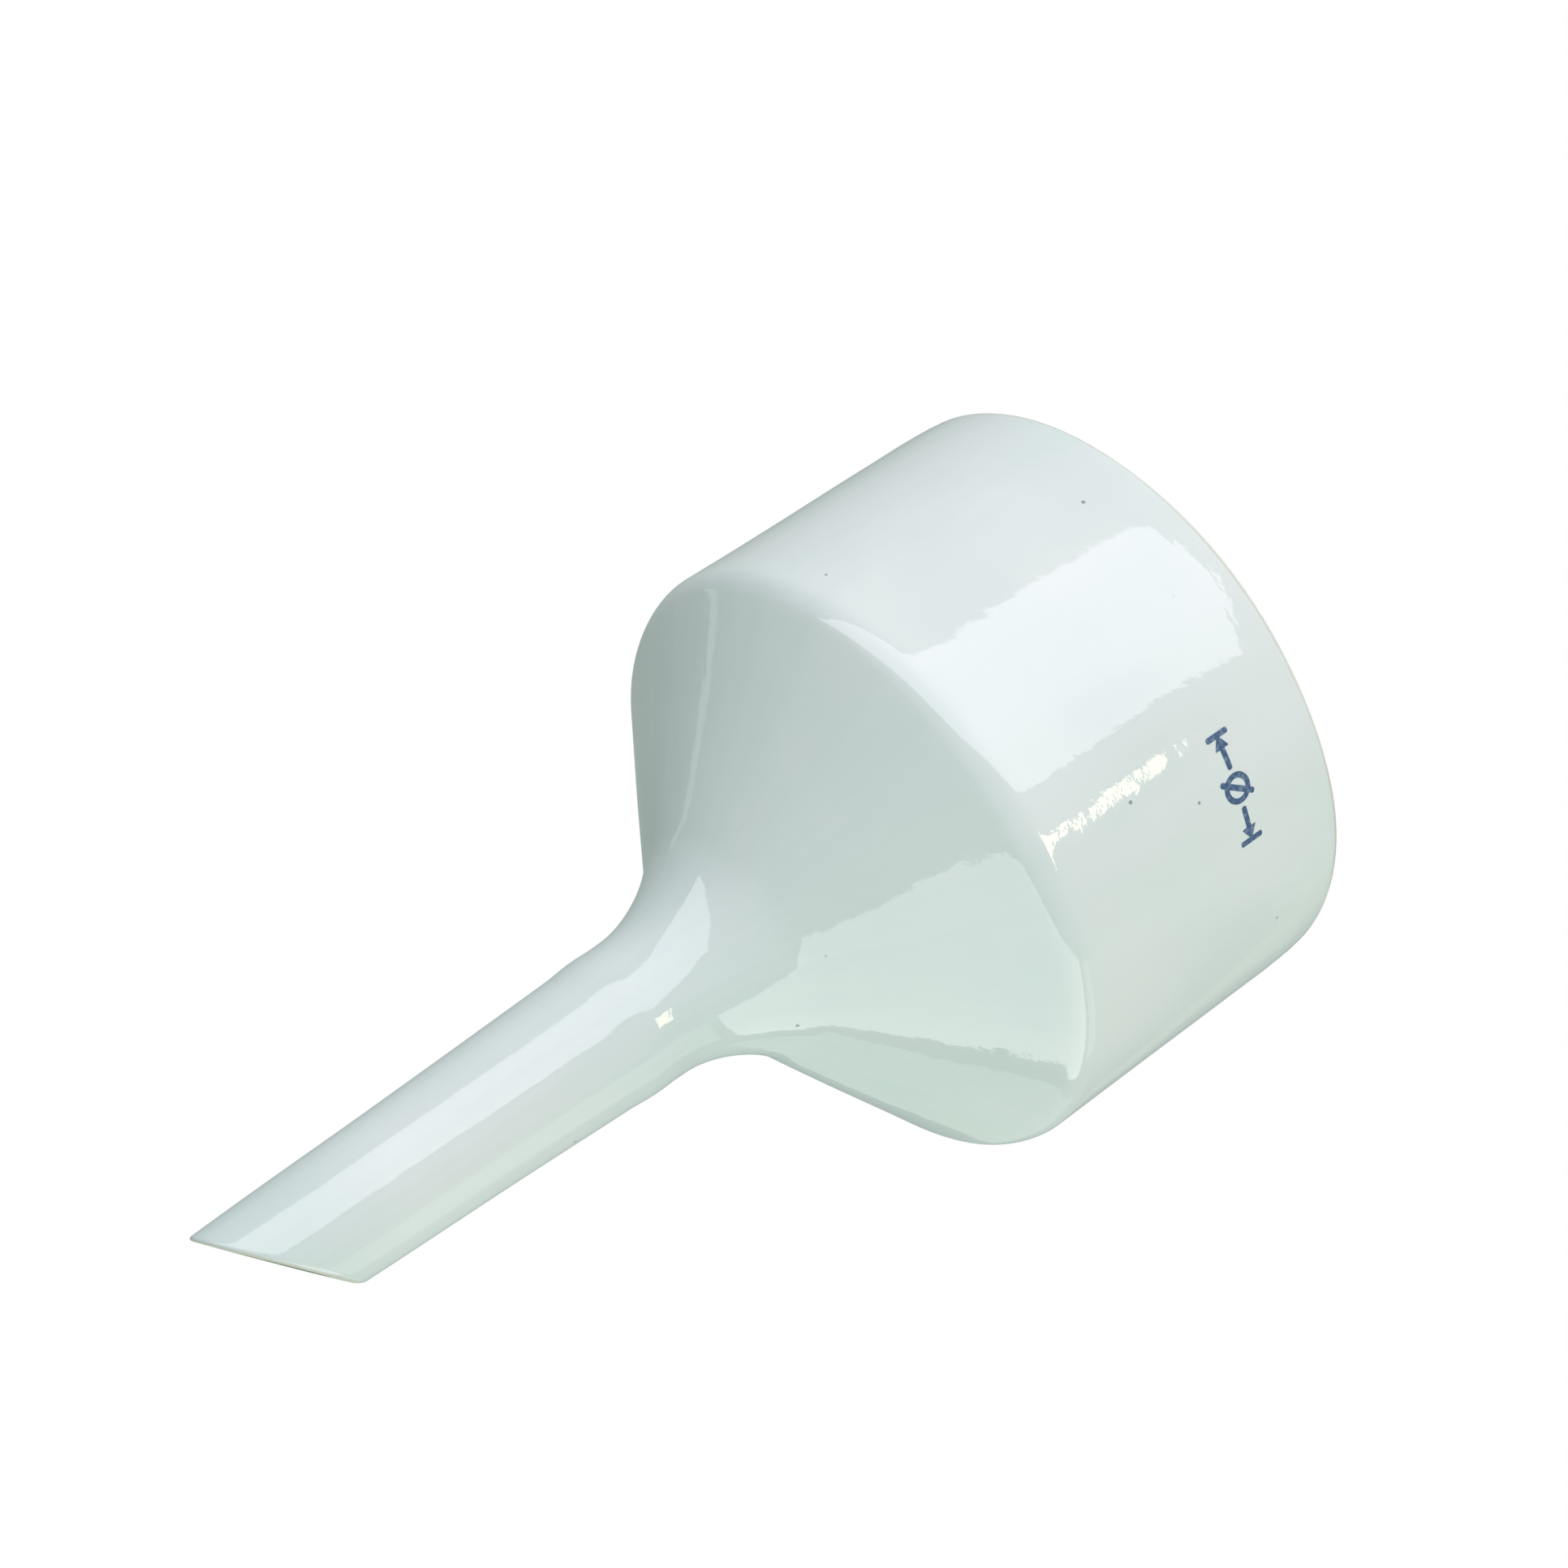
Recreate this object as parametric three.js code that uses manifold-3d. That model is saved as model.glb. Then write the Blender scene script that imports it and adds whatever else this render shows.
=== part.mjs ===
// Buchner funnel of glazed porcelain, 100 mm across the rim.
//
// It is formed as separate pieces that are luted together with slip (liquid clay) before firing:
// a straight bowl wall and a perforated plate both stand on the collecting cone, and a long stem
// with an oblique outlet hangs under it. Millimetres, +Z up, rim up. The origin is on the axis at
// the top of the straight stem, where a rubber cone in a flask's neck takes hold.
import * as THREE from "three";
import { mergeVertices } from "three/addons/utils/BufferGeometryUtils.js";
import Module from "manifold-3d";

const wasm = await Module();
wasm.setup();

// Outside shape.
const RIM_RADIUS = 50;
const BOWL_HEIGHT = 55; // shoulder corner to rim
const CONE_HEIGHT = 30.5; // neck corner to shoulder corner
const NECK_RADIUS = 11.8; // where the lines of cone and stem would meet
const NECK_Z = 17.5; // height of that corner above the origin
const STEM_LENGTH = 81; // neck corner to the middle of the outlet
const OUTLET_RADIUS = 9.5;
const OUTLET_ANGLE = Math.PI / 4; // slope of the oblique outlet, short side towards +X
const NECK_ROUND = 24;
const SHOULDER_ROUND = 5;
const RIM_ROUND = 1.2;

// Inside shape.
const BOWL_WALL = 4.2;
const CONE_WALL = 4.5;
const NECK_BORE = 7.5; // radius
const OUTLET_BORE = 6.4; // radius
const THROAT_ROUND = 20; // bore to cone, inside
const LEDGE_RISE = 3; // shoulder corner up to the ledge that carries plate and wall
const LEDGE_BORE = 41; // radius of the opening in the ledge

// Perforated plate: one hole in the middle and HOLE_RINGS rings round it, six more holes in each.
const PLATE_THICKNESS = 5;
const PLATE_CHAMFER = 3;
const HOLE_RADIUS = 1;
const HOLE_RINGS = 6;
const RING_PITCH = 6.4;

// Joints.
const GAP = 0.3; // clear space between neighbouring solids
const SLIP = 0.6; // thickness of a layer of slip

// Fineness of the round surfaces.
const ROUND_STEPS = 64; // round the axis
const HOLE_STEPS = 8; // round a hole
const ARC_ERROR = 0.1; // greatest distance from a rounded corner's true arc to its chords

// Heights worked out from the above.
const SHOULDER_Z = NECK_Z + CONE_HEIGHT;
const RIM_Z = SHOULDER_Z + BOWL_HEIGHT;
const LEDGE_Z = SHOULDER_Z + LEDGE_RISE;
const OUTLET_Z = NECK_Z - STEM_LENGTH;
const PLATE_BOTTOM = LEDGE_Z + GAP;
const PLATE_TOP = PLATE_BOTTOM + PLATE_THICKNESS;
const WALL_BOTTOM = LEDGE_Z + SLIP + 2 * GAP;
const STEM_JOINT = SLIP / 2 + GAP; // distance from the origin to either side of the stem's joint

// Radii that follow from them.
const BOWL_BORE = RIM_RADIUS - BOWL_WALL;
const PLATE_RADIUS = BOWL_BORE - GAP;

const glazed = () => new THREE.MeshStandardMaterial({ color: 0xdfe6e2, roughness: 0.08, metalness: 0 });
const slipware = () => new THREE.MeshStandardMaterial({ color: 0xd9d8cc, roughness: 0.45, metalness: 0 });

/** Points from one end of the arc to the other, ends included. */
function arcPoints(centre, radius, from, sweep) {
  const step = 2 * Math.acos(1 - ARC_ERROR / radius);
  const steps = Math.ceil(Math.abs(sweep) / step);
  const points = [];
  for (let i = 0; i <= steps; i++) {
    const angle = from + (sweep * i) / steps;
    const arm = new THREE.Vector2(Math.cos(angle), Math.sin(angle)).multiplyScalar(radius);
    points.push(arm.add(centre));
  }
  return points;
}

/** The arc that rounds the corner between two straight edges. */
function roundedCorner(before, corner, after, radius) {
  const back = before.clone().sub(corner).normalize();
  const ahead = after.clone().sub(corner).normalize();
  const half = Math.acos(back.dot(ahead)) / 2;
  const middle = back.clone().add(ahead).normalize();
  const centre = corner.clone().addScaledVector(middle, radius / Math.sin(half));
  const start = corner.clone().addScaledVector(back, radius / Math.tan(half)).sub(centre);
  const turnsLeft = Math.sign(ahead.cross(back));
  return arcPoints(centre, radius, start.angle(), turnsLeft * (Math.PI - 2 * half));
}

/** A closed outline through corners [r, z, round], in the half plane beside the axis. */
function outline(corners) {
  const at = (i) => {
    const [r, z] = corners[(i + corners.length) % corners.length];
    return new THREE.Vector2(r, z);
  };
  const points = corners.flatMap(([, , round], i) =>
    round ? roundedCorner(at(i - 1), at(i), at(i + 1), round) : [at(i)],
  );
  return [...points, points[0].clone()];
}

/** Drops all but the positions, so that vertices in one place become one vertex. */
function welded(geometry) {
  geometry.deleteAttribute("normal");
  geometry.deleteAttribute("uv");
  return mergeVertices(geometry);
}

/** Turns an outline about the Z axis; it runs anticlockwise, up on its outside. */
function turned(points) {
  const ring = new THREE.LatheGeometry(points, ROUND_STEPS);
  ring.rotateX(Math.PI / 2);
  return welded(ring);
}

function toManifold(geometry) {
  return new wasm.Manifold(
    new wasm.Mesh({
      numProp: 3,
      vertProperties: new Float32Array(geometry.attributes.position.array),
      triVerts: new Uint32Array(geometry.index.array),
    }),
  );
}

function fromManifold(manifold) {
  const { vertProperties, triVerts } = manifold.getMesh();
  const geometry = new THREE.BufferGeometry();
  geometry.setAttribute("position", new THREE.BufferAttribute(vertProperties, 3));
  geometry.setIndex(new THREE.BufferAttribute(triVerts, 1));
  return geometry;
}

function piece(name, geometry, material) {
  geometry.computeVertexNormals();
  const mesh = new THREE.Mesh(geometry, material);
  mesh.name = name;
  return mesh;
}

/** The straight wall round the filter, with its rounded rim. */
function bowlWall() {
  const section = outline([
    [BOWL_BORE, WALL_BOTTOM],
    [RIM_RADIUS, WALL_BOTTOM],
    [RIM_RADIUS, RIM_Z, RIM_ROUND],
    [BOWL_BORE, RIM_Z, RIM_ROUND],
  ]);
  return piece("bowl_wall", turned(section), glazed());
}

/** The layer of slip that joins the wall to the cone's ledge. */
function wallSlipJoint() {
  const section = outline([
    [BOWL_BORE, LEDGE_Z + GAP],
    [RIM_RADIUS, LEDGE_Z + GAP],
    [RIM_RADIUS, LEDGE_Z + GAP + SLIP],
    [BOWL_BORE, LEDGE_Z + GAP + SLIP],
  ]);
  return piece("wall_slip_joint", turned(section), slipware());
}

/** A square sheet with the plate's holes, six more in each ring than in the ring inside it. */
function sheetShape() {
  const half = PLATE_RADIUS + GAP;
  const shape = new THREE.Shape();
  shape.moveTo(-half, -half).lineTo(half, -half).lineTo(half, half).lineTo(-half, half);
  for (let ring = 0; ring <= HOLE_RINGS; ring++) {
    const count = Math.max(1, 6 * ring);
    for (let i = 0; i < count; i++) {
      const angle = (2 * Math.PI * i) / count;
      const [x, y] = [ring * RING_PITCH * Math.cos(angle), ring * RING_PITCH * Math.sin(angle)];
      const hole = new THREE.Path();
      hole.absarc(x, y, HOLE_RADIUS, 0, 2 * Math.PI, true);
      shape.holes.push(hole);
    }
  }
  return shape;
}

/** The fixed plate that carries the filter paper, its top edge chamfered for the bead of slip. */
function perforatedPlate() {
  const sheet = new THREE.ExtrudeGeometry(sheetShape(), {
    depth: PLATE_THICKNESS + 2 * GAP,
    curveSegments: HOLE_STEPS / 2, // an arc gets twice as many
    bevelEnabled: false,
  });
  sheet.translate(0, 0, PLATE_BOTTOM - GAP);
  const disc = new THREE.LatheGeometry(
    [
      new THREE.Vector2(0, PLATE_BOTTOM),
      new THREE.Vector2(PLATE_RADIUS, PLATE_BOTTOM),
      new THREE.Vector2(PLATE_RADIUS, PLATE_TOP - PLATE_CHAMFER),
      new THREE.Vector2(PLATE_RADIUS - PLATE_CHAMFER, PLATE_TOP),
      new THREE.Vector2(0, PLATE_TOP),
    ],
    ROUND_STEPS,
  );
  disc.rotateX(Math.PI / 2);
  const cut = toManifold(welded(disc)).intersect(toManifold(welded(sheet)));
  return piece("perforated_plate", fromManifold(cut), glazed());
}

/** The bead of slip that fills the corner between plate and wall, hollowed by a fingertip. */
function plateSlipBead() {
  const tip = PLATE_RADIUS - PLATE_CHAMFER;
  const clearOfChamfer = GAP * Math.SQRT2;
  const corner = new THREE.Vector2(tip, PLATE_TOP + PLATE_CHAMFER);
  const hollow = arcPoints(corner, PLATE_CHAMFER, 0, -Math.PI / 2).slice(0, -1);
  const section = [
    new THREE.Vector2(tip + clearOfChamfer, PLATE_TOP),
    new THREE.Vector2(PLATE_RADIUS, PLATE_TOP - PLATE_CHAMFER + clearOfChamfer),
    ...hollow,
    new THREE.Vector2(tip + clearOfChamfer, PLATE_TOP),
  ];
  return piece("plate_slip_bead", turned(section), slipware());
}

/** The cone that gathers the filtrate: ledge on top, neck below, flaring out of the stem. */
function collectingCone() {
  const run = RIM_RADIUS - NECK_RADIUS;
  const slant = Math.hypot(run, CONE_HEIGHT);
  const rise = CONE_HEIGHT / run;
  const innerR = NECK_RADIUS - (CONE_WALL * CONE_HEIGHT) / slant;
  const innerZ = NECK_Z + (CONE_WALL * run) / slant;
  const innerZAt = (r) => innerZ + (r - innerR) * rise;
  const section = outline([
    [NECK_BORE, STEM_JOINT],
    [stemRadius(STEM_JOINT), STEM_JOINT],
    [NECK_RADIUS, NECK_Z, NECK_ROUND],
    [RIM_RADIUS, SHOULDER_Z, SHOULDER_ROUND],
    [RIM_RADIUS, LEDGE_Z],
    [LEDGE_BORE, LEDGE_Z],
    [LEDGE_BORE, innerZAt(LEDGE_BORE)],
    [NECK_BORE, innerZAt(NECK_BORE), THROAT_ROUND],
  ]);
  return piece("collecting_cone", turned(section), glazed());
}

/** Outer radius of the tapered stem at a height. */
function stemRadius(z) {
  return NECK_RADIUS + ((z - NECK_Z) * (NECK_RADIUS - OUTLET_RADIUS)) / STEM_LENGTH;
}

/** Bore radius of the stem at a height. */
function stemBore(z) {
  return NECK_BORE + (z * (OUTLET_BORE - NECK_BORE)) / OUTLET_Z;
}

/** The ring of slip between the stem and the cone's neck. */
function stemSlipJoint() {
  const section = outline([
    [NECK_BORE, -SLIP / 2],
    [stemRadius(-SLIP / 2), -SLIP / 2],
    [stemRadius(SLIP / 2), SLIP / 2],
    [NECK_BORE, SLIP / 2],
  ]);
  return piece("stem_slip_joint", turned(section), slipware());
}

/** The tapered stem, cut off obliquely so that the last drops leave from its long side. */
function stem() {
  const below = OUTLET_Z - OUTLET_RADIUS * Math.tan(OUTLET_ANGLE) - CONE_WALL;
  const tube = turned(
    outline([
      [stemBore(below), below],
      [stemRadius(below), below],
      [stemRadius(-STEM_JOINT), -STEM_JOINT],
      [stemBore(-STEM_JOINT), -STEM_JOINT],
    ]),
  );
  const block = new THREE.BoxGeometry(STEM_LENGTH, STEM_LENGTH, STEM_LENGTH);
  block.translate(0, 0, -STEM_LENGTH / 2);
  block.rotateY(-OUTLET_ANGLE);
  block.translate(0, 0, OUTLET_Z);
  const cut = toManifold(tube).subtract(toManifold(welded(block)));
  return piece("stem", fromManifold(cut), glazed());
}

const funnel = new THREE.Group();
funnel.name = "buchner_funnel";
funnel.add(
  bowlWall(),
  wallSlipJoint(),
  perforatedPlate(),
  plateSlipBead(),
  collectingCone(),
  stemSlipJoint(),
  stem(),
);

export default funnel;
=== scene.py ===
# %% [markdown]
# # A Buchner funnel in glazed porcelain
# A Buchner funnel is a vacuum filter. Its straight bowl stands over a plate full of small holes,
# a cone gathers what runs through, and a long stem leads it into a flask. The maker forms the wall,
# the plate, the cone and the stem apart, joins them with liquid clay, dips the whole in glaze and
# fires it. The lesson models each of those pieces on its own, round the vertical axis of the frame,
# and gives them one glaze whose pattern runs on from piece to piece.

# %% Load the frame
import math

import bmesh
import bpy
from mathutils import Matrix, Vector


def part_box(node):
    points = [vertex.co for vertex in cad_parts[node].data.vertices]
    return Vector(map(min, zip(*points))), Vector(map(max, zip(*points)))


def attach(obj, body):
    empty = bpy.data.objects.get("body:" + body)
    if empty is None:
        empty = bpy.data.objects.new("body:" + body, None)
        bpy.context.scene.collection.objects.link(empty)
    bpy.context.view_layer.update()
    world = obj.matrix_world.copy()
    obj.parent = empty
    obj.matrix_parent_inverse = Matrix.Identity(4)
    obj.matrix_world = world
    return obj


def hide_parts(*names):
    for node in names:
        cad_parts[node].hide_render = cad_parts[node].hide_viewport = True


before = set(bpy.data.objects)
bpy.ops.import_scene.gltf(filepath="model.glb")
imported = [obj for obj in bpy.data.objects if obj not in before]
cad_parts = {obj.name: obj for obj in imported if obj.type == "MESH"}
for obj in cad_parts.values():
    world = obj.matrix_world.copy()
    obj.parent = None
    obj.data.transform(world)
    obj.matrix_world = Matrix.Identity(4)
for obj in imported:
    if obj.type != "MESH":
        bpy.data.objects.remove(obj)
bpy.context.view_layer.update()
MM = 0.001

# %% [markdown]
# ## Sizes
# Every size is read from the frame or follows from one that is. A box gives a piece's ends and its
# outer radius. What a box can't give, such as the cone's thickness, is a potter's measure named here.

# %% Read the sizes
wall_low, wall_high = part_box("bowl_wall")
plate_low, plate_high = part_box("perforated_plate")
cone_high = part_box("collecting_cone")[1]
slip_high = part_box("stem_slip_joint")[1]
stem_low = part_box("stem")[0]
bead_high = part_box("plate_slip_bead")[1]

RIM_R = wall_high.x
RIM_Z = wall_high.z
PLATE_R = plate_high.x
PLATE_TOP = plate_high.z
PLATE_THICK = plate_high.z - plate_low.z
BORE_R = PLATE_R + 0.3 * MM
STEM_TOP_R = slip_high.x

WALL_SEAM = (wall_low.z + cone_high.z) / 2
JOINT_HALF = 5 * MM
LEDGE_R = RIM_R - 9 * MM
SHOULDER_Z = cone_high.z - 3 * MM
NECK_Z = SHOULDER_Z - 30.5 * MM
OUTLET_Z = NECK_Z - 81 * MM
STEM_TAPER = (11.8 - 9.5) / 81
CONE_WALL = 4.5 * MM
THROAT_R = 7.5 * MM
OUTLET_BORE_R = 6.4 * MM
BORE_TAPER = (THROAT_R - OUTLET_BORE_R) / -OUTLET_Z

TURN_STEPS = 160
FINE_EDGE = 1.5 * MM
HAIR = 0.01 * MM
print("rim radius", round(RIM_R / MM, 1), "mm, plate top at", round(PLATE_TOP / MM, 1), "mm")
print("neck at", round(NECK_Z / MM, 1), "mm, outlet at", round(OUTLET_Z / MM, 1), "mm")


# %% [markdown]
# ## Selecting by place
# Blender's mesh operators act on what is selected. These helpers empty the selection, name a new
# primitive, and select the vertices, edges or faces whose places pass a test.

# %% Selecting by place
def deselect():
    bpy.ops.object.select_all(action="DESELECT")


def named(name):
    """The primitive that was just added, under its own name."""
    piece = bpy.context.object
    piece.name = name
    piece.data.name = name
    return piece


def edit():
    bpy.ops.object.mode_set(mode="EDIT")


def leave_edit():
    bpy.ops.object.mode_set(mode="OBJECT")


def pick(kind, keep):
    """In edit mode, selects the vertices, edges or faces whose vertices all pass the test."""
    bpy.ops.mesh.select_mode(type=kind)
    bpy.ops.mesh.select_all(action="DESELECT")
    mesh = bmesh.from_edit_mesh(bpy.context.object.data)
    parts = {"VERT": mesh.verts, "EDGE": mesh.edges, "FACE": mesh.faces}[kind]
    for part in parts:
        corners = [part] if kind == "VERT" else part.verts
        part.select_set(all(keep(v.co) for v in corners))
    mesh.select_flush_mode()
    bmesh.update_edit_mesh(bpy.context.object.data)


def near(r, z):
    """A test for a vertex of a section at radius r and height z."""
    return lambda co: abs(co.x - r) < HAIR and abs(co.z - z) < HAIR


def from_angles(azimuth, elevation):
    """A unit vector at an angle round +Z from +X, and above the horizon, in degrees."""
    a, e = math.radians(azimuth), math.radians(elevation)
    return Vector((math.cos(e) * math.cos(a), math.cos(e) * math.sin(a), math.sin(e)))


print("a vertex counts as found within", HAIR / MM, "mm")


# %% [markdown]
# ## From a section to a turned piece
# A turned piece starts as a flat section beside the axis, as a potter's profile does. Its corners are
# moved and rounded while it is flat, its edges are divided finely, and a spin turns it into the piece.

# %% Sections and turning
def section(name, inner, outer, bottom, top):
    """A flat rectangle that stands beside the axis, the start of every turned piece."""
    deselect()
    middle = ((inner + outer) / 2, 0, (bottom + top) / 2)
    bpy.ops.mesh.primitive_plane_add(size=1, location=middle, rotation=(math.pi / 2, 0, 0))
    piece = named(name)
    bpy.ops.transform.resize(value=(outer - inner, 1, top - bottom))
    bpy.ops.object.transform_apply(location=True, rotation=True, scale=True)
    return piece


def shift_corner(r, z, new_r, new_z):
    """Moves the section's vertex at (r, z) to (new_r, new_z)."""
    pick("VERT", near(r, z))
    bpy.ops.transform.translate(value=(new_r - r, 0, new_z - z))


def round_corner(r, z, reach, steps, profile=0.5):
    """Rounds the section's corner at (r, z), from a distance reach on both its edges."""
    pick("VERT", near(r, z))
    bpy.ops.mesh.bevel(
        affect="VERTICES", offset=reach, offset_type="OFFSET", segments=steps, profile=profile
    )


def split_long_edges(longest):
    """Halves edges until none is longer than it may be."""
    while True:
        bpy.ops.mesh.select_mode(type="EDGE")
        bpy.ops.mesh.select_all(action="DESELECT")
        mesh = bmesh.from_edit_mesh(bpy.context.object.data)
        too_long = [e for e in mesh.edges if e.calc_length() > longest]
        if not too_long:
            return
        for e in too_long:
            e.select_set(True)
        bmesh.update_edit_mesh(bpy.context.object.data)
        bpy.ops.mesh.subdivide(number_cuts=1)


def turn():
    """Turns the section in edit mode once round the axis and closes the seam."""
    bpy.ops.mesh.select_mode(type="FACE")
    bpy.ops.mesh.select_all(action="SELECT")
    bpy.ops.mesh.delete(type="ONLY_FACE")
    split_long_edges(FINE_EDGE)
    bpy.ops.mesh.select_all(action="SELECT")
    bpy.ops.mesh.spin(steps=TURN_STEPS, angle=2 * math.pi, center=(0, 0, 0), axis=(0, 0, 1))
    bpy.ops.mesh.select_all(action="SELECT")
    bpy.ops.mesh.remove_doubles(threshold=0.001 * MM)
    bpy.ops.mesh.normals_make_consistent(inside=False)


print("a turn takes", TURN_STEPS, "steps, along edges of up to", FINE_EDGE / MM, "mm")


# %% [markdown]
# ## Handwork in the shape
# Jiggered and hand-joined ware is never perfectly round. A texture of soft coloured clouds pushes
# every vertex a little way, red along X, green along Y and blue along Z. Because it reads the place
# and not the normal, two pieces that meet are pushed alike, so their joint stays tight.

# %% Unevenness
UNEVENNESS = 0.5 * MM
SMOOTH_UP_TO = 40
clouds = bpy.data.textures.new("uneven_clay", type="CLOUDS")
clouds.cloud_type = "COLOR"
clouds.noise_scale = 32 * MM
clouds.noise_depth = 0


def unevenly(piece):
    """Applies the shared unevenness to a piece."""
    push = piece.modifiers.new("uneven_clay", type="DISPLACE")
    push.texture = clouds
    push.texture_coords = "LOCAL"
    push.direction = "RGB_TO_XYZ"
    push.mid_level = 0.5
    push.strength = UNEVENNESS
    bpy.ops.object.modifier_apply(modifier=push.name)


print("clouds of", clouds.noise_scale / MM, "mm")


# %% [markdown]
# ## Finishing a piece
# Each piece is shaded smooth, except at real edges, and told which body it rides on and which plain
# solids it stands for. A flat piece is left true instead of uneven. Its shading is weighted by the size
# of the faces, so that the small rounds of its edges don't tilt the light on the large flat.

# %% Finishing
def measured(piece):
    """Prints a finished piece's size and face count."""
    size = [round(v / MM, 1) for v in piece.dimensions]
    print(piece.name, "is", size, "mm, with", len(piece.data.polygons), "faces")


def finish_piece(piece, body_slot, *nodes, flat=False):
    """Leaves a piece smooth, riding on the frame and standing for its nodes."""
    leave_edit()
    if not flat:
        unevenly(piece)
    bpy.ops.object.shade_smooth_by_angle(angle=math.radians(SMOOTH_UP_TO))
    if flat:
        level = piece.modifiers.new("level_faces", type="WEIGHTED_NORMAL")
        level.weight = 100
        level.keep_sharp = True
        bpy.ops.object.modifier_apply(modifier=level.name)
    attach(piece, "root")
    if nodes:
        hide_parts(*nodes)
    measured(piece)
    return piece


# %% [markdown]
# ## The bowl wall
# The wall is jiggered: clay is pressed against a spinning plaster mould by a profile. A spin of its
# section about the axis is the same operation. The rim is wiped while the clay is soft, so its outside
# leans in a little over the last few millimetres before the round of the edge: each row of vertices up
# there is drawn in by a small share of the lean, the upper rows by more.

# %% Turn the bowl wall
RIM_LEAN = 0.45 * MM
LEAN_HEIGHT = 9 * MM
LEAN_STEPS = 18
RIM_ROUND_OUTSIDE = 1.0 * MM
RIM_ROUND_INSIDE = 1.3 * MM


def bowl_wall():
    piece = section("wall", BORE_R, RIM_R, WALL_SEAM, RIM_Z)
    edit()
    round_corner(RIM_R, RIM_Z, RIM_ROUND_OUTSIDE, 6)
    round_corner(BORE_R, RIM_Z, RIM_ROUND_INSIDE, 6)
    turn()
    for i in range(1, LEAN_STEPS + 1):
        height = RIM_Z - LEAN_HEIGHT + i * LEAN_HEIGHT / LEAN_STEPS
        share = (i / LEAN_STEPS) ** 2 - ((i - 1) / LEAN_STEPS) ** 2
        scale = 1 - share * RIM_LEAN / RIM_R
        pick("VERT", lambda co: co.z > height - HAIR and co.xy.length > RIM_R - 3 * MM)
        bpy.ops.transform.resize(value=(scale, scale, 1), center_override=(0, 0, height))
    return finish_piece(piece, "glazed_porcelain", "bowl_wall")


wall = bowl_wall()

# %% [markdown]
# ## The collecting cone
# The section starts as the rectangle of the ledge that carries the plate. Its lower edge is extruded
# down the cone and again down the neck, and the corners are then rounded. The inner corners come from
# the outer ones and the thickness of the wall.

# %% Turn the collecting cone
NECK_ROUND = 11.1 * MM
SHOULDER_RADIUS = 5 * MM
THROAT_ROUND = 9.5 * MM
DROP = 10 * MM


def stem_r(z):
    """Outer radius of the neck and stem at a height, before the flare."""
    return STEM_TOP_R + z * STEM_TAPER


def collecting_cone():
    neck_r = stem_r(NECK_Z)
    run, rise = RIM_R - neck_r, SHOULDER_Z - NECK_Z
    slant = math.hypot(run, rise)
    inner_r, inner_z = neck_r - CONE_WALL * rise / slant, NECK_Z + CONE_WALL * run / slant
    ledge_z = inner_z + (LEDGE_R - inner_r) * rise / run
    throat_z = inner_z + (THROAT_R - inner_r) * rise / run
    turn_angle = math.atan2(run, rise)

    piece = section("cone", LEDGE_R, RIM_R, SHOULDER_Z, WALL_SEAM)
    edit()
    shift_corner(LEDGE_R, SHOULDER_Z, LEDGE_R, ledge_z)
    pick("EDGE", lambda co: co.z < SHOULDER_Z + HAIR)
    bpy.ops.mesh.extrude_edges_move(TRANSFORM_OT_translate={"value": (0, 0, -DROP)})
    shift_corner(LEDGE_R, ledge_z - DROP, THROAT_R, throat_z)
    shift_corner(RIM_R, SHOULDER_Z - DROP, neck_r, NECK_Z)
    pick("EDGE", lambda co: co.z < throat_z + HAIR)
    bpy.ops.mesh.extrude_edges_move(TRANSFORM_OT_translate={"value": (0, 0, -DROP)})
    shift_corner(THROAT_R, throat_z - DROP, THROAT_R, JOINT_HALF)
    shift_corner(neck_r, NECK_Z - DROP, stem_r(JOINT_HALF), JOINT_HALF)
    bpy.ops.mesh.select_mode(type="FACE")
    bpy.ops.mesh.select_all(action="SELECT")
    bpy.ops.mesh.normals_make_consistent(inside=False)
    bpy.ops.mesh.dissolve_limited(angle_limit=math.radians(1), use_dissolve_boundaries=False)
    round_corner(neck_r, NECK_Z, NECK_ROUND, 20)
    round_corner(RIM_R, SHOULDER_Z, SHOULDER_RADIUS * math.tan(turn_angle / 2), 10)
    round_corner(THROAT_R, throat_z, THROAT_ROUND, 16)
    turn()
    return finish_piece(piece, "glazed_porcelain", "collecting_cone", "wall_slip_joint")


cone = collecting_cone()

# %% [markdown]
# ## The joint of the stem
# Where the stem was luted on, the wiped slip leaves a low welt that the glaze softens. A ring is turned
# from a small section, and each of its outer rows of vertices is swelled as a smooth hump asks.

# %% Turn the stem's joint
WELT = 0.2 * MM


def stem_joint():
    piece = section("stem_joint", THROAT_R, STEM_TOP_R, -JOINT_HALF, JOINT_HALF)
    edit()
    shift_corner(STEM_TOP_R, JOINT_HALF, stem_r(JOINT_HALF), JOINT_HALF)
    shift_corner(STEM_TOP_R, -JOINT_HALF, stem_r(-JOINT_HALF), -JOINT_HALF)
    shift_corner(THROAT_R, -JOINT_HALF, THROAT_R - JOINT_HALF * BORE_TAPER, -JOINT_HALF)
    turn()
    mesh = bmesh.from_edit_mesh(piece.data)
    rows = sorted({round(v.co.z, 6) for v in mesh.verts})
    for row in rows[1:-1]:
        swell = 1 + WELT * math.cos(math.pi / 2 * row / JOINT_HALF) ** 2 / STEM_TOP_R
        pick("VERT", lambda co: abs(co.z - row) < 0.02 * MM and co.xy.length > STEM_TOP_R - 2 * MM)
        bpy.ops.transform.resize(value=(swell, swell, 1), center_override=(0, 0, row))
    return finish_piece(piece, "glazed_porcelain", "stem_slip_joint")


joint = stem_joint()

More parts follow.
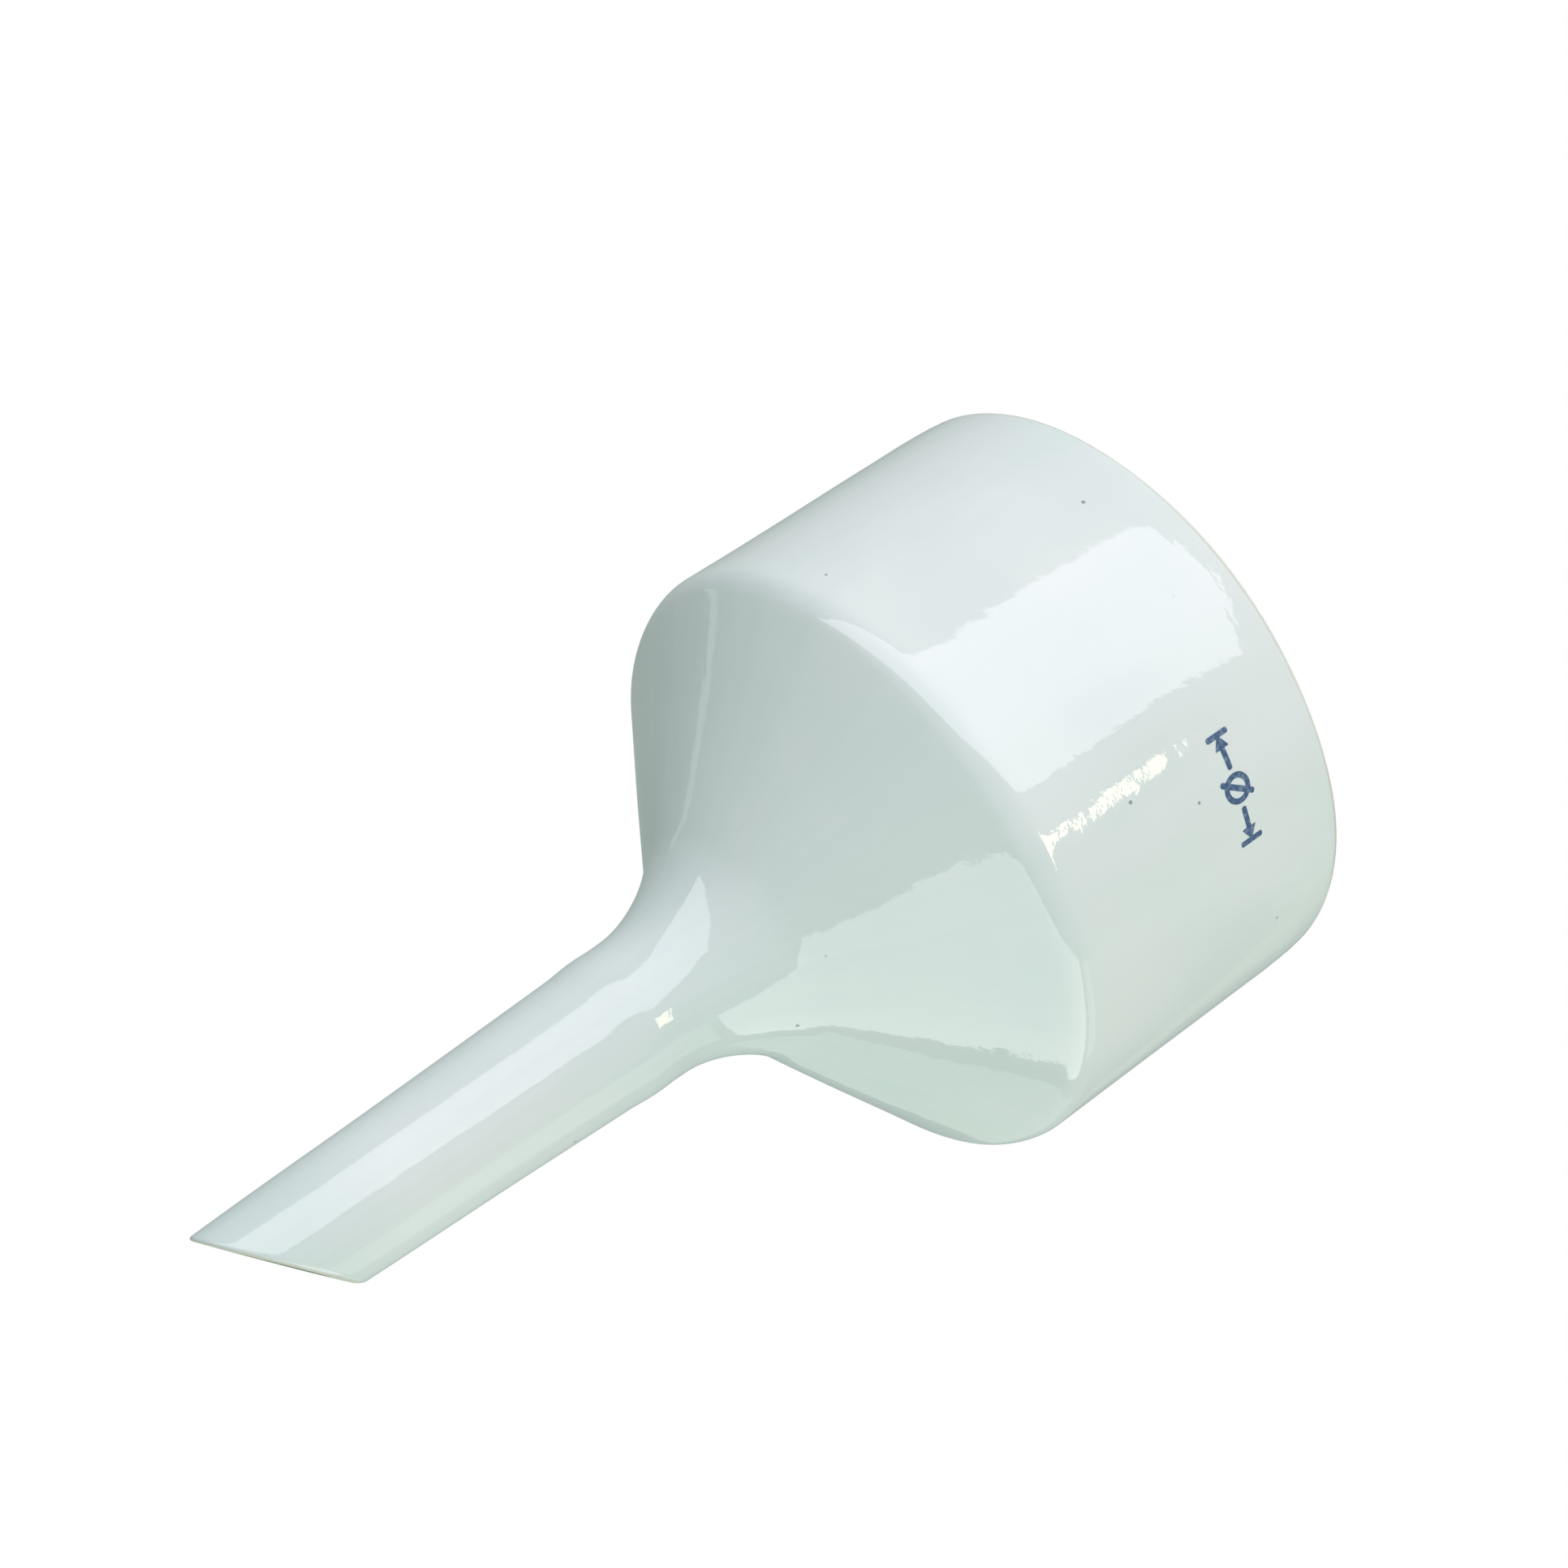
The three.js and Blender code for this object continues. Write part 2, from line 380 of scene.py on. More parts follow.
# %% [markdown]
# ## The stem
# The stem is cast as a tapered tube and cut off obliquely. It starts as a cone primitive, both ends are
# inset to the bore and bridged through, and a bisecting plane cuts the outlet. Its outer edge is rounded
# before the tube is divided into rings, while it is still one clean loop.

# %% Make the stem
OUTLET_LIP = 1.0 * MM


def stem_tube():
    bottom = stem_low.z - 4 * MM
    top = -JOINT_HALF
    deselect()
    bpy.ops.mesh.primitive_cone_add(
        vertices=TURN_STEPS,
        radius1=stem_r(bottom),
        radius2=stem_r(top),
        depth=top - bottom,
        location=(0, 0, (top + bottom) / 2),
    )
    piece = named("stem_tube")
    bpy.ops.object.transform_apply(location=True, rotation=True, scale=True)
    edit()
    for end in (top, bottom):
        pick("FACE", lambda co: abs(co.z - end) < HAIR)
        bore = THROAT_R + end * BORE_TAPER
        bpy.ops.mesh.inset(thickness=stem_r(end) - bore)
    pick("FACE", lambda co: co.xy.length < THROAT_R + 0.2 * MM)
    bpy.ops.mesh.bridge_edge_loops()
    bpy.ops.mesh.select_all(action="SELECT")
    bpy.ops.mesh.bisect(
        plane_co=(0, 0, OUTLET_Z), plane_no=(1, 0, -1), use_fill=True, clear_outer=True
    )
    pick(
        "EDGE",
        lambda co: abs(co.x - co.z + OUTLET_Z) < HAIR and co.xy.length > stem_r(co.z) - 1 * MM,
    )
    bpy.ops.mesh.bevel(offset=OUTLET_LIP, segments=6, affect="EDGES")
    rings = int((top - bottom) / FINE_EDGE)
    for i in range(1, rings):
        bpy.ops.mesh.select_all(action="SELECT")
        height = bottom + i * (top - bottom) / rings
        bpy.ops.mesh.bisect(plane_co=(0, 0, height), plane_no=(0, 0, 1))
    bpy.ops.mesh.select_all(action="SELECT")
    bpy.ops.mesh.normals_make_consistent(inside=False)
    return finish_piece(piece, "glazed_porcelain", "stem")


stem = stem_tube()

# %% [markdown]
# ## The perforated plate
# The plate is a disc with one hole in the middle and rings of holes round it. One drill is modelled,
# copied to every place and taken away from the disc by a boolean. The holes' edges are then bevelled,
# because glaze always rounds an edge.

# %% Drill the plate
HOLE_R = 1.0 * MM
HOLE_RINGS = 6
RING_PITCH = 6.4 * MM
HOLE_EDGE = 0.3 * MM


def drills():
    """One solid object of all the drills, each a copy of the first."""
    deselect()
    bpy.ops.mesh.primitive_cylinder_add(vertices=20, radius=HOLE_R, depth=2 * PLATE_THICK)
    first = named("drill")
    edit()
    bpy.ops.mesh.select_all(action="SELECT")
    bpy.ops.transform.translate(value=(0, 0, PLATE_TOP - PLATE_THICK / 2))
    leave_edit()
    for ring in range(1, HOLE_RINGS + 1):
        for i in range(6 * ring):
            angle = 2 * math.pi * i / (6 * ring)
            copy = bpy.data.objects.new("drill_copy", first.data.copy())
            bpy.context.collection.objects.link(copy)
            reach = ring * RING_PITCH
            copy.location = (reach * math.cos(angle), reach * math.sin(angle), 0)
            copy.select_set(True)
    first.select_set(True)
    bpy.context.view_layer.objects.active = first
    bpy.ops.object.join()
    return first


def filter_plate():
    tool = drills()
    deselect()
    middle = (0, 0, PLATE_TOP - PLATE_THICK / 2)
    bpy.ops.mesh.primitive_cylinder_add(
        vertices=TURN_STEPS, radius=PLATE_R, depth=PLATE_THICK, location=middle
    )
    piece = named("filter_plate")
    bpy.ops.object.transform_apply(location=True, rotation=True, scale=True)
    drill = piece.modifiers.new("holes", type="BOOLEAN")
    drill.operation = "DIFFERENCE"
    drill.solver = "EXACT"
    drill.object = tool
    bpy.ops.object.modifier_apply(modifier=drill.name)
    bpy.data.objects.remove(tool)
    soften = piece.modifiers.new("glazed_edges", type="BEVEL")
    soften.limit_method = "ANGLE"
    soften.width = HOLE_EDGE
    soften.segments = 3
    bpy.ops.object.modifier_apply(modifier=soften.name)
    edit()
    return finish_piece(piece, "glazed_porcelain", "perforated_plate", flat=True)


plate = filter_plate()
print("holes:", 1 + sum(6 * ring for ring in range(1, HOLE_RINGS + 1)))

# %% [markdown]
# ## The bead round the plate
# A roll of slip seals the plate to the wall and is smoothed with a fingertip. Its section is a
# rectangle in that corner, whose free corner is bevelled with a hollow profile.

# %% Turn the bead
BEAD_WIDTH = 3.2 * MM
BEAD_HOLLOW = 2.9 * MM


def plate_bead():
    bottom = PLATE_TOP - 1.5 * MM
    inner = PLATE_R - BEAD_WIDTH
    top = bead_high.z
    piece = section("plate_bead", inner, BORE_R + 0.2 * MM, bottom, top)
    edit()
    shift_corner(inner, bottom, inner + 1 * MM, bottom)
    round_corner(inner, top, BEAD_HOLLOW, 8, profile=0.12)
    turn()
    return finish_piece(piece, "glazed_porcelain", "plate_slip_bead")


bead = plate_bead()

# %% [markdown]
# ## The size mark
# Ware of this kind is stamped with its size in blue under the rim. Here a drawing sign takes the place
# of any lettering: a diameter sign between two arrows. Each stroke is a flat primitive with its corners
# bevelled, as a rubber stamp prints it. The joined mark is cut into narrow strips so that it can bend,
# wrapped onto the wall with a Shrinkwrap, and given the thickness of a film of colour.

# %% Stamp the size mark
STROKE = 0.95 * MM
MARK_AZIMUTH = -83
MARK_BELOW_RIM = 18 * MM
INK = 0.02 * MM
STRIP = 0.5 * MM


def bar(x, y, length, angle):
    """A stroke of the stamp, centred on (x, y), with rounded corners."""
    deselect()
    bpy.ops.mesh.primitive_plane_add(size=1)
    piece = named("stroke")
    piece.scale = (length, STROKE, 1)
    bpy.ops.object.transform_apply(scale=True)
    edit()
    bpy.ops.mesh.bevel(affect="VERTICES", offset=0.4 * STROKE, segments=4)
    leave_edit()
    piece.rotation_euler.z = angle
    piece.location = (x, y, 0)
    return piece


def ring(radius):
    """The ring of the diameter sign."""
    deselect()
    bpy.ops.mesh.primitive_circle_add(vertices=48, radius=radius + STROKE / 2, fill_type="NGON")
    piece = named("stroke")
    edit()
    bpy.ops.mesh.inset(thickness=STROKE)
    bpy.ops.mesh.delete(type="FACE")
    leave_edit()
    return piece


def arrow_head(x, side):
    """A solid triangle that points away from the middle of the mark."""
    deselect()
    bpy.ops.mesh.primitive_circle_add(vertices=3, radius=1.6 * MM, fill_type="NGON")
    piece = named("stroke")
    edit()
    bpy.ops.mesh.bevel(affect="VERTICES", offset=0.15 * MM, segments=3)
    leave_edit()
    piece.rotation_euler.z = -side * math.pi / 2
    piece.location = (side * x, 0, 0)
    return piece


def size_mark():
    strokes = [ring(2.05 * MM), bar(0, 0, 6.8 * MM, math.radians(55))]
    for side in (-1, 1):
        strokes.append(bar(side * 5.3 * MM, 0, 4.2 * MM, 0))
        strokes.append(arrow_head(7.6 * MM, side))
        strokes.append(bar(side * 9.1 * MM, 0, 4.4 * MM, math.pi / 2))
    for layer, stroke in enumerate(strokes):
        stroke.location.z = layer * INK / 8
        stroke.select_set(True)
    bpy.context.view_layer.objects.active = strokes[0]
    bpy.ops.object.transform_apply(location=True, rotation=True, scale=True)
    bpy.ops.object.join()
    piece = named("size_mark")
    edit()
    for i in range(-19, 20):
        bpy.ops.mesh.select_all(action="SELECT")
        bpy.ops.mesh.bisect(plane_co=(i * STRIP, 0, 0), plane_no=(1, 0, 0))
    leave_edit()
    piece.rotation_euler = (math.pi / 2, 0, math.radians(MARK_AZIMUTH + 90))
    spot = (RIM_R + 1 * MM) * from_angles(MARK_AZIMUTH, 0)
    piece.location = (spot.x, spot.y, RIM_Z - MARK_BELOW_RIM)
    bpy.ops.object.transform_apply(location=True, rotation=True, scale=True)
    wrap = piece.modifiers.new("wrap", type="SHRINKWRAP")
    wrap.target = wall
    wrap.wrap_method = "NEAREST_SURFACEPOINT"
    wrap.wrap_mode = "ABOVE_SURFACE"
    wrap.offset = INK
    bpy.ops.object.modifier_apply(modifier=wrap.name)
    film = piece.modifiers.new("film", type="SOLIDIFY")
    film.thickness = INK / 2
    film.offset = 1
    bpy.ops.object.modifier_apply(modifier=film.name)
    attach(piece, "root")
    measured(piece)
    return piece


mark = size_mark()

# %% [markdown]
# ## Node helpers
# A material is a small program. Helpers keep it readable: one adds a node and joins its inputs, and the
# others write a sum, a soft step, a mix of colours or a group of nodes on one line.

# %% Building node trees
def add(tree, kind, inputs=None, **settings):
    """A node of a kind, its settings first and then its inputs, each a value or a socket."""
    node = tree.nodes.new(kind)
    for name, value in settings.items():
        setattr(node, name, value)
    for name, value in (inputs or {}).items():
        if isinstance(value, bpy.types.NodeSocket):
            tree.links.new(value, node.inputs[name])
        else:
            node.inputs[name].default_value = value
    return node


def calculate(tree, operation, a, b=0.0, c=0.0):
    """The output of a Math node."""
    return add(tree, "ShaderNodeMath", {0: a, 1: b, 2: c}, operation=operation).outputs[0]


def ramp(tree, value, low, high, to_low=0.0, to_high=1.0):
    """A value brought smoothly from one range to another."""
    node = add(
        tree,
        "ShaderNodeMapRange",
        {"Value": value, "From Min": low, "From Max": high, "To Min": to_low, "To Max": to_high},
        interpolation_type="SMOOTHSTEP",
    )
    return node.outputs["Result"]


def blend(tree, share, one, other):
    """A mix of two colours."""
    node = add(tree, "ShaderNodeMix", data_type="RGBA")
    for socket, value in zip((node.inputs[0], node.inputs[6], node.inputs[7]), (share, one, other)):
        if isinstance(value, bpy.types.NodeSocket):
            tree.links.new(value, socket)
        else:
            socket.default_value = value
    return node.outputs[2]


def scaled(tree, vector, by):
    """A vector times another, each part by its own."""
    node = add(tree, "ShaderNodeVectorMath", {0: vector, 1: by}, operation="MULTIPLY")
    return node.outputs[0]


def noise(tree, place, scale, detail):
    """A noise texture's value at a place."""
    inputs = {"Vector": place, "Scale": scale, "Detail": detail}
    return add(tree, "ShaderNodeTexNoise", inputs).outputs["Fac"]


def new_group(name, inputs, outputs):
    """An empty node group; inputs are (name, type, value), outputs are (name, type)."""
    group = bpy.data.node_groups.new(name, "ShaderNodeTree")
    for label, kind, value in inputs:
        socket = group.interface.new_socket(name=label, in_out="INPUT", socket_type=kind)
        if value is not None:
            socket.default_value = value
    for label, kind in outputs:
        group.interface.new_socket(name=label, in_out="OUTPUT", socket_type=kind)
    source = group.nodes.new("NodeGroupInput")
    sink = group.nodes.new("NodeGroupOutput")
    return group, source.outputs, sink.inputs


def group_node(tree, group, inputs):
    """A group placed in a tree; its outputs."""
    node = tree.nodes.new("ShaderNodeGroup")
    node.node_tree = group
    for name, value in inputs.items():
        if isinstance(value, bpy.types.NodeSocket):
            tree.links.new(value, node.inputs[name])
        else:
            node.inputs[name].default_value = value
    return node.outputs


print("node trees can be written")


# %% [markdown]
# ## Glaze
# A glaze is a skin of glass on white clay. It levels as it melts but never quite, so a reflection's edge
# wavers: broad waves first, finer ones on them. Where it gathers it looks blue-green, where it runs
# thin the clay shows whiter. A few specks of iron burn through. These effects are used on every piece,
# so each is a node group that gives only heights, masks and colours.

# %% Ripples and runs in the glaze
FLOAT, COLOR, VECTOR = "NodeSocketFloat", "NodeSocketColor", "NodeSocketVector"

ripple_group, given, result = new_group(
    "glaze_ripple",
    [
        ("Place", VECTOR, None),
        ("Broad", FLOAT, 0.12 * MM),
        ("Fine", FLOAT, 0.036 * MM),
        ("Runs", FLOAT, 0.03 * MM),
    ],
    [("Height", FLOAT), ("Runs", FLOAT)],
)
flat_place = scaled(ripple_group, given["Place"], (1, 1, 0))
around = add(ripple_group, "ShaderNodeVectorMath", {0: flat_place}, operation="NORMALIZE").outputs[0]
slow_fall = scaled(ripple_group, given["Place"], (0, 0, 4))
fall = add(ripple_group, "ShaderNodeVectorMath", {0: around, 1: slow_fall}, operation="ADD").outputs[0]
run = noise(ripple_group, fall, 7.0, 4.0)
broad = noise(ripple_group, given["Place"], 75.0, 1.0)
fine = noise(ripple_group, given["Place"], 330.0, 3.0)
height = calculate(ripple_group, "MULTIPLY", broad, given["Broad"])
height = calculate(ripple_group, "MULTIPLY_ADD", fine, given["Fine"], height)
height = calculate(ripple_group, "MULTIPLY_ADD", run, given["Runs"], height)
ripple_group.links.new(height, result["Height"])
ripple_group.links.new(run, result["Runs"])
print("glaze_ripple has", len(ripple_group.nodes), "nodes")

# %% [markdown]
# ## Colour of the glaze
# The tint follows how thick the glaze lies, thin on the stem that drains well. The cone, which hangs over
# while it is dipped, and the end of the stem, where the last of it drips off the outlet, are tinted
# darker and greener. That is partly thicker glaze and partly painted shade on the cone, which faces down,
# and on the outlet end.

# %% Colour of the glaze
tint_group, given, result = new_group(
    "glaze_tint",
    [
        ("Place", VECTOR, None),
        ("Thin", COLOR, (0.78, 0.83, 0.805, 1)),
        ("Thick", COLOR, (0.58, 0.71, 0.68, 1)),
        ("Runs", FLOAT, 0.5),
        ("Gathered", FLOAT, 0.0),
    ],
    [("Color", COLOR), ("Roughness", FLOAT)],
)
flow = noise(tint_group, given["Place"], 28.0, 3.0)
along = add(tint_group, "ShaderNodeSeparateXYZ", {"Vector": given["Place"]}).outputs["Z"]
# painted shade: the cone, which faces down, is tinted darker and greener, partly as thicker glaze
cone_glaze_and_shade = ramp(tint_group, along, SHOULDER_Z + 5 * MM, SHOULDER_Z - 4 * MM, 0.0, 0.40)
down_stem = ramp(tint_group, along, NECK_Z, NECK_Z - 30 * MM, 0.0, 0.32)
# painted shade: the stem's last 24 mm towards the outlet are darkened, partly as glaze gathered where it
# drips off
outlet_glaze_and_shade = ramp(tint_group, along, OUTLET_Z + 24 * MM, OUTLET_Z - 6 * MM, 0.0, 0.34)
in_runs = ramp(tint_group, given["Runs"], 0.3, 0.7, -0.04, 0.05)
share = ramp(tint_group, flow, 0.3, 0.75, 0.0, 0.25)
share = calculate(tint_group, "SUBTRACT", share, down_stem)
for more in (cone_glaze_and_shade, outlet_glaze_and_shade, in_runs, given["Gathered"]):
    share = calculate(tint_group, "ADD", share, more)
share = add(tint_group, "ShaderNodeClamp", {"Value": share}).outputs[0]
tint_group.links.new(blend(tint_group, share, given["Thin"], given["Thick"]), result["Color"])
touch = noise(tint_group, given["Place"], 45.0, 4.0)
tint_group.links.new(ramp(tint_group, touch, 0.35, 0.75, 0.025, 0.06), result["Roughness"])
print("glaze_tint has", len(tint_group.nodes), "nodes")

# %% [markdown]
# ## Specks of iron
# A grain of iron in the clay burns through the glaze as a small dark dot. A Voronoi texture sets one
# point in each cell of space, and only the points that lie close to the surface show, so the specks
# come out few and of different sizes.

# %% Specks of iron
speck_group, given, result = new_group(
    "iron_specks",
    [("Place", VECTOR, None), ("Spacing", FLOAT, 95.0), ("Size", FLOAT, 0.024)],
    [("Mask", FLOAT)],
)
cells = {"Vector": given["Place"], "Scale": given["Spacing"]}
speck = add(speck_group, "ShaderNodeTexVoronoi", cells)
larger = calculate(speck_group, "MULTIPLY", given["Size"], 1.6)
fade = {"From Min": given["Size"], "From Max": larger, "To Min": 0.75, "To Max": 0.0}
mask = add(speck_group, "ShaderNodeMapRange", {"Value": speck.outputs["Distance"], **fade})
speck_group.links.new(mask.outputs["Result"], result["Mask"])
print("iron_specks has", len(speck_group.nodes), "nodes")

# %% [markdown]
# ## Where the glaze was wiped off
# Glaze would weld the rim to the kiln shelf, so it is sponged off there and the clay stays bare. The
# border isn't straight, because a sponge and not a blade made it, and the clay has a fine grain.

# %% Edge where the glaze was wiped off
bare_group, given, result = new_group(
    "bare_edge",
    [("Place", VECTOR, None), ("Past Edge", FLOAT, 0.0), ("Raggedness", FLOAT, 0.25 * MM)],
    [("Mask", FLOAT), ("Height", FLOAT)],
)
ragged = noise(bare_group, given["Place"], 260.0, 3.0)
offset = calculate(bare_group, "SUBTRACT", ragged, 0.5)
reached = calculate(bare_group, "MULTIPLY_ADD", offset, given["Raggedness"], given["Past Edge"])
bare_group.links.new(ramp(bare_group, reached, -0.05 * MM, 0.05 * MM), result["Mask"])
grain = noise(bare_group, given["Place"], 2500.0, 2.0)
bare_group.links.new(calculate(bare_group, "MULTIPLY", grain, 0.02 * MM), result["Height"])
print("node groups:", [g.name for g in bpy.data.node_groups])

# %% [markdown]
# ## One glaze for every piece
# The function below makes the material of one piece. `gathered` thickens the glaze, and `bare` is a
# plane beyond which the clay is bare: a direction and its distance. The rim is wiped, and so is the
# face of the outlet. Plain object coordinates carry the pattern on from one piece to the next.

# %% Glazed porcelain
BARE_CLAY = (0.58, 0.60, 0.52, 1)
IRON = (0.16, 0.17, 0.16, 1)
WIPED_RIM = 0.9 * MM
WIPED_OUTLET = 0.3 * MM


def glazed(name, bare=None, gathered=0.0, broad_wave=0.12 * MM):
    """A material of glaze over porcelain."""
    material = bpy.data.materials.new(name)
    material.use_nodes = True
    tree = material.node_tree
    shader = tree.nodes["Principled BSDF"]
    place = add(tree, "ShaderNodeTexCoord").outputs["Object"]
    ripple = group_node(tree, ripple_group, {"Place": place, "Broad": broad_wave})
    tint = group_node(tree, tint_group, {"Place": place, "Runs": ripple["Runs"], "Gathered": gathered})
    specks = group_node(tree, speck_group, {"Place": place})
    color = blend(tree, specks["Mask"], tint["Color"], IRON)
    roughness, height = tint["Roughness"], ripple["Height"]
    if bare:
        direction, distance = bare
        past = add(tree, "ShaderNodeVectorMath", {0: place, 1: direction}, operation="DOT_PRODUCT")
        past = calculate(tree, "SUBTRACT", past.outputs["Value"], distance)
        edge = group_node(tree, bare_group, {"Place": place, "Past Edge": past})
        color = blend(tree, edge["Mask"], color, BARE_CLAY)
        roughness = calculate(tree, "MULTIPLY_ADD", edge["Mask"], 0.5, roughness)
        worn = calculate(tree, "MULTIPLY", edge["Mask"], edge["Height"])
        height = calculate(tree, "ADD", height, worn)
    tree.links.new(color, shader.inputs["Base Color"])
    tree.links.new(roughness, shader.inputs["Roughness"])
    bump = add(tree, "ShaderNodeBump", {"Height": height, "Distance": 1.0, "Strength": 1.0})
    tree.links.new(bump.outputs["Normal"], shader.inputs["Normal"])
    shader.inputs["IOR"].default_value = 1.6
    shader.inputs["Specular IOR Level"].default_value = 0.6
    return material


def dress(piece, material):
    piece.data.materials.clear()
    piece.data.materials.append(material)


outlet_normal = Vector((1, 0, -1)).normalized()
outlet_face = outlet_normal.dot(Vector((0, 0, OUTLET_Z)))
dress(wall, glazed("wall_glaze", bare=((0, 0, 1), RIM_Z - WIPED_RIM)))
dress(cone, glazed("cone_glaze"))
dress(joint, glazed("joint_glaze"))
dress(stem, glazed("stem_glaze", bare=(outlet_normal, outlet_face - WIPED_OUTLET)))
dress(plate, glazed("plate_glaze", broad_wave=0.08 * MM))
dress(bead, glazed("bead_glaze", gathered=0.35))
print("glazed:", [p.name for p in (wall, cone, joint, stem, plate, bead)])

# %% [markdown]
# ## Blue of the stamp
# Cobalt colour is brushed onto the stamp and prints unevenly, so small islands stay lighter. It lies in
# the glaze, so it shines nearly as the glaze does and takes the same ripples.

# %% Stamp colour
COBALT = (0.060, 0.115, 0.225, 1)
THIN_COBALT = (0.30, 0.40, 0.50, 1)


def stamp_blue():
    material = bpy.data.materials.new("stamp_blue")
    material.use_nodes = True
    tree = material.node_tree
    shader = tree.nodes["Principled BSDF"]
    place = add(tree, "ShaderNodeTexCoord").outputs["Object"]
    uneven = noise(tree, place, 1400.0, 3.0)
    thin = ramp(tree, uneven, 0.45, 0.75, 0.0, 0.55)
    color = blend(tree, thin, COBALT, THIN_COBALT)
    tree.links.new(color, shader.inputs["Base Color"])
    ripple = group_node(tree, ripple_group, {"Place": place})
    bump = add(tree, "ShaderNodeBump", {"Height": ripple["Height"], "Distance": 1.0, "Strength": 1.0})
    tree.links.new(bump.outputs["Normal"], shader.inputs["Normal"])
    roughness = ramp(tree, uneven, 0.3, 0.8, 0.10, 0.16)
    tree.links.new(roughness, shader.inputs["Roughness"])
    return material


dress(mark, stamp_blue())
print("stamped in", mark.data.materials[0].name)

# %% [markdown]
# ## Floor
# The funnel hangs well above a plain pale floor, because the camera looks up at it from below. The floor
# glows a little, so it looks as light as paper. It is hidden from reflections and from bounced light, as
# it would otherwise stand in the way of the lights that come from below.

# %% Floor
FLOOR_DROP = 2.5
FLOOR_GLOW = 0.46


def pale_floor():
    deselect()
    bpy.ops.mesh.primitive_circle_add(vertices=96, radius=20, fill_type="NGON")
    floor = named("floor")
    edit()
    bpy.ops.mesh.select_all(action="SELECT")
    bpy.ops.transform.translate(value=(0, 0, -FLOOR_DROP))
    leave_edit()
    material = bpy.data.materials.new("pale_floor")
    material.use_nodes = True
    tree = material.node_tree
    shader = tree.nodes["Principled BSDF"]
    place = add(tree, "ShaderNodeTexCoord").outputs["Object"]
    cloud = noise(tree, place, 1.5, 4.0)
    shade = blend(tree, cloud, (0.79, 0.78, 0.78, 1), (0.85, 0.84, 0.84, 1))
    tree.links.new(shade, shader.inputs["Base Color"])
    shader.inputs["Roughness"].default_value = 0.9
    shader.inputs["Emission Color"].default_value = (1, 1, 1, 1)
    shader.inputs["Emission Strength"].default_value = FLOOR_GLOW
    dress(floor, material)
    floor.visible_glossy = False
    floor.visible_diffuse = False
    print("floor", FLOOR_DROP, "m down")


pale_floor()

# %% [markdown]
# ## Light cards
# A glossy thing is shaped by what it mirrors, so the light comes from glowing sheets. A large cool window
# stands on one side. On the other, low down, is a second one, with paler walls round it and a thin
# slat of light behind. A small warm lamp gives the glint. Each sheet is placed by the directions of its
# four corners, seen from the funnel: the directions in which the glaze mirrors its edges.

# %% Light cards
CENTRE = Vector((-10, -42, 50)) * MM
COOL, PALE = (0.94, 0.91, 1.0, 1), (0.98, 1.0, 0.98, 1)
GREENISH, WARM = (0.84, 1.0, 0.88, 1), (1.0, 0.85, 0.62, 1)


def light_card(name, color, radiance, distance, corners):
    """A glowing sheet; corners are its four directions from the funnel, as azimuth and elevation."""
    deselect()
    bpy.ops.mesh.primitive_plane_add(size=2)
    card = named(name)
    edit()
    for (x, y), corner in zip(((-1, -1), (1, -1), (1, 1), (-1, 1)), corners):
        place = CENTRE + distance * from_angles(*corner)
        pick("VERT", lambda co: (co - Vector((x, y, 0))).length < 0.01)
        bpy.ops.transform.translate(value=place - Vector((x, y, 0)))
    leave_edit()
    material = bpy.data.materials.new(name)
    material.use_nodes = True
    shader = material.node_tree.nodes["Principled BSDF"]
    shader.inputs["Base Color"].default_value = (0, 0, 0, 1)
    shader.inputs["Emission Color"].default_value = color
    shader.inputs["Emission Strength"].default_value = radiance
    dress(card, material)
    card.visible_camera = False
    print(name, "glows at", radiance)


light_card("window", COOL, 2.25, 1.3, ((-197, -27), (-124, -17), (-93, 38), (-152, 38)))
light_card("side", PALE, 1.9, 1.2, ((-66, -70), (26, -60), (8, 0), (-40, 0)))
light_card("side_top", GREENISH, 0.95, 1.2, ((-36, 6), (2, 6), (0, 25), (-38, 25)))
light_card("side_wall", GREENISH, 0.64, 1.6, ((28, -66), (95, -50), (75, 8), (18, 8)))
light_card("right_wall", GREENISH, 0.50, 1.6, ((-38, 26), (54, 23), (44, 29.3), (-34, 36.5)))
light_card("back_wall", GREENISH, 0.26, 1.6, ((121, -60), (180, -60), (180, -10), (119, -12)))
light_card("slat", GREENISH, 0.8, 1.5, ((119, -60), (122, -60), (119, -12), (116, -12)))
light_card("lamp", WARM, 6, 1.2, ((-86, 24), (-68, 24), (-77, 32.5), (-81, 32.5)))

# %% [markdown]
# ## A soft light overhead
# One large lamp hangs above and shines down into the bowl, which the sheets beside it don't reach. Its
# reflection falls on the plate, and only a camera that looks down sees it there.

# %% A soft light overhead
soft_light = bpy.data.lights.new("overhead", type="AREA")
soft_light.size = 1.6
soft_light.energy = 14
soft_light.color = (0.96, 1.0, 1.0)
overhead = bpy.data.objects.new("overhead", soft_light)
overhead.location = (0, 0, 1.6)
overhead.visible_camera = False
bpy.context.collection.objects.link(overhead)
print("light overhead:", soft_light.energy, "W")

# %% [markdown]
# ## Surroundings
# The camera sees plain white behind the funnel. Light Path tells its rays from all others, which meet a
# dimmer room instead: light towards the camera's side and dark on the far side, so that the cone has a
# light and a dark half.

